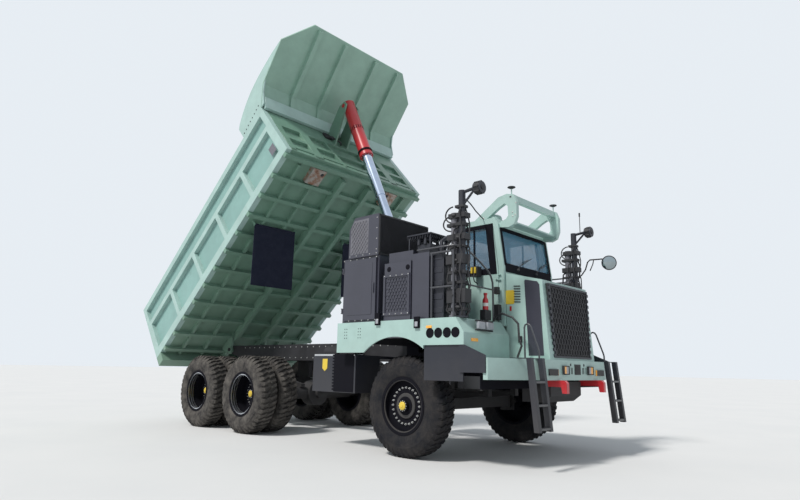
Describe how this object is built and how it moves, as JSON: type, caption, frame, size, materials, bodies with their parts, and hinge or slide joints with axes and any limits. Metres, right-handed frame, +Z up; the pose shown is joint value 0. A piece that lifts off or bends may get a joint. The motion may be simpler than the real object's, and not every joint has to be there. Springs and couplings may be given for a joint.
{
  "type": "mining dump truck",
  "caption": "Six-wheel mining dump truck with its open bed raised by a telescopic hoist, cab behind a hood, and side cabinets.",
  "frame": {"origin": "middle of the truck's bounding box, on the ground under it", "axes": "+X to the truck's left, +Y to its rear (it faces -Y), +Z up"},
  "size_m": [5, 13.4498, 10.6745],
  "materials": {
    "mint_paint": "satin",
    "mint_deep": "satin",
    "black_paint": "satin",
    "chassis_black": "matte",
    "grey_plastic": "matte",
    "bare_steel": "worn",
    "chrome_rod": "polished",
    "red_paint": "gloss",
    "tyre_rubber": "matte",
    "flap_rubber": "matte",
    "window_glass": "clear",
    "amber_lens": "gloss",
    "seat_fabric": "woven",
    "engine_iron": "matte",
    "silver_rail": "satin"
  },
  "bodies": {
    "chassis": {"frame": "chassis_black", "front_axle": "chassis_black", "drive_axles": "chassis_black", "suspension": "chassis_black", "engine_block": "engine_iron", "bumper": "mint_paint", "tow_hooks": "red_paint", "ladders": "black_paint", "hood": "mint_paint", "grille": "grey_plastic", "cab_shell": "mint_paint", "cab_glass": "window_glass", "cab_interior": "seat_fabric", "roof_frame": "mint_paint", "deck_right": "mint_paint", "deck_left": "mint_paint", "side_skirts": "black_paint", "side_boxes": "black_paint", "cabinet": "black_paint", "cooler": "black_paint", "deck_boxes": "black_paint", "masts": "black_paint", "handrails": "silver_rail", "mirror": "black_paint", "front_lamps": "amber_lens"},
    "door_right": {"door_right": "mint_paint", "door_right_glass": "window_glass"},
    "door_left": {"door_left": "mint_paint", "door_left_glass": "window_glass"},
    "cabinet_door": {"cabinet_door": "black_paint"},
    "knuckle_right": {"knuckle_right": "chassis_black"},
    "knuckle_left": {"knuckle_left": "chassis_black"},
    "wheel_front_right": {"front_rim_right": "chassis_black", "front_tyre_right": "tyre_rubber"},
    "wheel_front_left": {"front_rim_left": "chassis_black", "front_tyre_left": "tyre_rubber"},
    "wheels_mid_right": {"mid_rims_right": "chassis_black", "mid_tyres_right": "tyre_rubber"},
    "wheels_mid_left": {"mid_rims_left": "chassis_black", "mid_tyres_left": "tyre_rubber"},
    "wheels_rear_right": {"rear_rims_right": "chassis_black", "rear_tyres_right": "tyre_rubber"},
    "wheels_rear_left": {"rear_rims_left": "chassis_black", "rear_tyres_left": "tyre_rubber"},
    "bed": {"bed_floor": "mint_deep", "rest_pads": "bare_steel", "bed_side_right": "mint_paint", "bed_side_left": "mint_paint", "bed_wall_front": "mint_deep", "bed_canopy": "mint_paint"},
    "bed_flaps": {"bed_flaps": "flap_rubber"},
    "hoist_barrel": {"hoist_barrel": "red_paint"},
    "hoist_stage_1": {"hoist_stage_1": "chrome_rod"},
    "hoist_stage_2": {"hoist_stage_2": "chrome_rod"},
    "hoist_stage_3": {"hoist_stage_3": "chrome_rod"},
    "hoist_rod": {"hoist_rod": "chrome_rod"}
  },
  "joints": [
    {"name": "steer_right", "type": "hinge", "parent": "chassis", "child": "knuckle_right", "pos_m": [-1.4, -4.05489, 0.9375], "axis": [0, 0, 1], "range_deg": [-30, 30]},
    {"name": "steer_left", "type": "hinge", "parent": "chassis", "child": "knuckle_left", "pos_m": [1.4, -4.05489, 0.9375], "axis": [0, 0, 1], "range_deg": [-30, 30]},
    {"name": "roll_front_right", "type": "hinge", "parent": "knuckle_right", "child": "wheel_front_right", "pos_m": [-1.925, -4.05489, 0.9375], "axis": [1, 0, 0], "continuous": true},
    {"name": "roll_front_left", "type": "hinge", "parent": "knuckle_left", "child": "wheel_front_left", "pos_m": [1.925, -4.05489, 0.9375], "axis": [1, 0, 0], "continuous": true},
    {"name": "roll_mid_right", "type": "hinge", "parent": "chassis", "child": "wheels_mid_right", "pos_m": [-1.775, 1.17511, 0.9375], "axis": [1, 0, 0], "continuous": true},
    {"name": "roll_mid_left", "type": "hinge", "parent": "chassis", "child": "wheels_mid_left", "pos_m": [1.775, 1.17511, 0.9375], "axis": [1, 0, 0], "continuous": true},
    {"name": "roll_rear_right", "type": "hinge", "parent": "chassis", "child": "wheels_rear_right", "pos_m": [-1.775, 3.34511, 0.9375], "axis": [1, 0, 0], "continuous": true},
    {"name": "roll_rear_left", "type": "hinge", "parent": "chassis", "child": "wheels_rear_left", "pos_m": [1.775, 3.34511, 0.9375], "axis": [1, 0, 0], "continuous": true},
    {"name": "door_right_swing", "type": "hinge", "parent": "chassis", "child": "door_right", "pos_m": [-0.982, -5.44989, 3.08], "axis": [0, 0, 1], "range_deg": [0, 70]},
    {"name": "door_left_swing", "type": "hinge", "parent": "chassis", "child": "door_left", "pos_m": [0.982, -5.44989, 3.08], "axis": [0, 0, 1], "range_deg": [-70, 0]},
    {"name": "cabinet_door_swing", "type": "hinge", "parent": "chassis", "child": "cabinet_door", "pos_m": [-2.39, -2.53289, 3.19], "axis": [0, 0, 1], "range_deg": [-90, 0]},
    {"name": "bed_tip", "type": "hinge", "parent": "chassis", "child": "bed", "pos_m": [0, 4.59511, 2.1], "axis": [1, 0, 0], "range_deg": [0, 41]},
    {"name": "flaps_swing", "type": "hinge", "parent": "bed", "child": "bed_flaps", "pos_m": [0, 1.25466, 5.26881], "axis": [1, 0, 0], "range_deg": [-41, 0]},
    {"name": "barrel_swing", "type": "hinge", "parent": "bed", "child": "hoist_barrel", "pos_m": [0, 0.17203, 8.99246], "axis": [1, 0, 0], "range_deg": [-13, 0]},
    {"name": "hoist_stage_1_slide", "type": "slide", "parent": "hoist_barrel", "child": "hoist_stage_1", "axis": [0, -0.425, -0.9052], "range_m": [-1.333, 0]},
    {"name": "hoist_stage_2_slide", "type": "slide", "parent": "hoist_stage_1", "child": "hoist_stage_2", "axis": [0, -0.425, -0.9052], "range_m": [-1.333, 0]},
    {"name": "hoist_stage_3_slide", "type": "slide", "parent": "hoist_stage_2", "child": "hoist_stage_3", "axis": [0, -0.425, -0.9052], "range_m": [-1.333, 0]},
    {"name": "hoist_rod_slide", "type": "slide", "parent": "hoist_stage_3", "child": "hoist_rod", "axis": [0, -0.425, -0.9052], "range_m": [-1.333, 0]}
  ],
  "couplings": [
    {"joint": "steer_left", "follows": "steer_right", "ratio": 1},
    {"joint": "flaps_swing", "follows": "bed_tip", "ratio": -1},
    {"joint": "barrel_swing", "follows": "bed_tip", "ratio": -0.31242},
    {"joint": "hoist_stage_1_slide", "follows": "bed_tip", "m_per_rad": -1.861},
    {"joint": "hoist_stage_2_slide", "follows": "bed_tip", "m_per_rad": -1.861},
    {"joint": "hoist_stage_3_slide", "follows": "bed_tip", "m_per_rad": -1.861},
    {"joint": "hoist_rod_slide", "follows": "bed_tip", "m_per_rad": -1.861}
  ]
}
